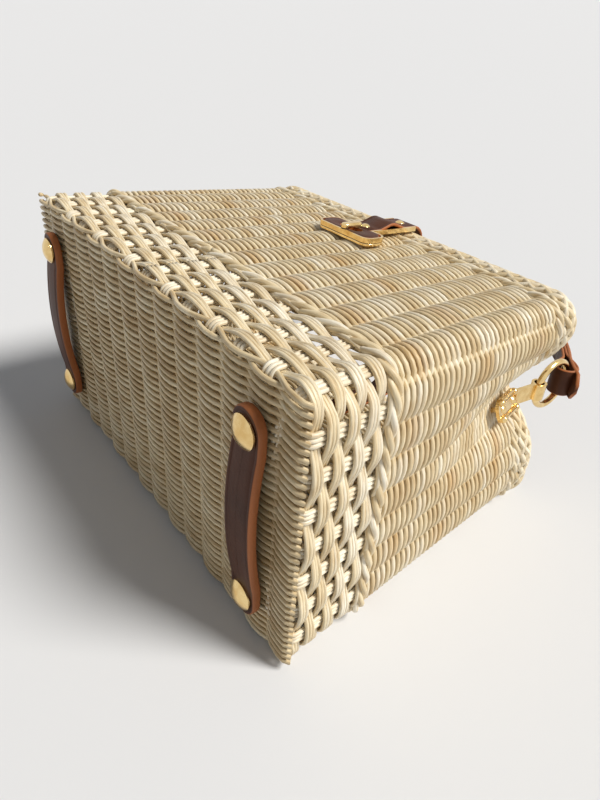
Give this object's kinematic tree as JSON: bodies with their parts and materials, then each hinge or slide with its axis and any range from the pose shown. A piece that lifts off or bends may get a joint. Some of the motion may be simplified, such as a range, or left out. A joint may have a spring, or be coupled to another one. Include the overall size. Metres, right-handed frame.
{
  "type": "basket handbag",
  "caption": "Woven cane box bag lying on its back, with leather foot straps, a strap clasp, pinched sides and an arched leather handle on rings.",
  "frame": {"origin": "centre of the box's base, in the plane that the bag lies on", "axes": "+X along the bag's width, +Y the way its opening faces, +Z out of its front panel"},
  "size_m": [0.2498, 0.2712, 0.1345],
  "materials": {
    "cane": "satin",
    "leather": "satin",
    "gold": "polished"
  },
  "bodies": {
    "bag": {"basket": "cane", "foot_strap_left": "leather", "foot_strap_right": "leather", "closing_strap": "leather", "foot_stud_left_back": "gold", "foot_stud_left_front": "gold", "foot_stud_right_back": "gold", "foot_stud_right_front": "gold", "foot_cap_left_back": "gold", "foot_cap_left_front": "gold", "foot_cap_right_back": "gold", "foot_cap_right_front": "gold", "clasp_plate": "gold", "clasp_back_plate": "gold", "clasp_rivet_left": "gold", "clasp_rivet_right": "gold", "hasp_tray": "gold", "hasp_rivet_lower": "gold", "hasp_rivet_upper": "gold", "tail_rivet_lower": "gold", "tail_rivet_upper": "gold", "anchor_plate_left": "gold", "anchor_plate_right": "gold", "anchor_rivet_left_lower": "gold", "anchor_rivet_left_upper": "gold", "anchor_rivet_right_lower": "gold", "anchor_rivet_right_upper": "gold"},
    "turn_knob": {"turn_knob": "gold"},
    "ring_right": {"ring_right": "gold"},
    "ring_left": {"ring_left": "gold"},
    "handle": {"handle": "leather", "handle_rivet_left": "gold", "handle_rivet_right": "gold"}
  },
  "joints": [
    {"name": "knob_turn", "type": "hinge", "parent": "bag", "child": "turn_knob", "pos_m": [0, 0.00197, 0.12496], "axis": [0, 0.1193, 0.9929], "range_deg": [0, 90]},
    {"name": "ring_right_turn", "type": "hinge", "parent": "bag", "child": "ring_right", "pos_m": [0.1, 0.06167, 0.05667], "axis": [1, 0, 0], "continuous": true},
    {"name": "ring_left_turn", "type": "hinge", "parent": "bag", "child": "ring_left", "pos_m": [-0.1, 0.06167, 0.05667], "axis": [1, 0, 0], "continuous": true},
    {"name": "handle_swing", "type": "hinge", "parent": "bag", "child": "handle", "pos_m": [0, 0.06167, 0.05667], "axis": [1, 0, 0], "range_deg": [-85, 85]}
  ]
}
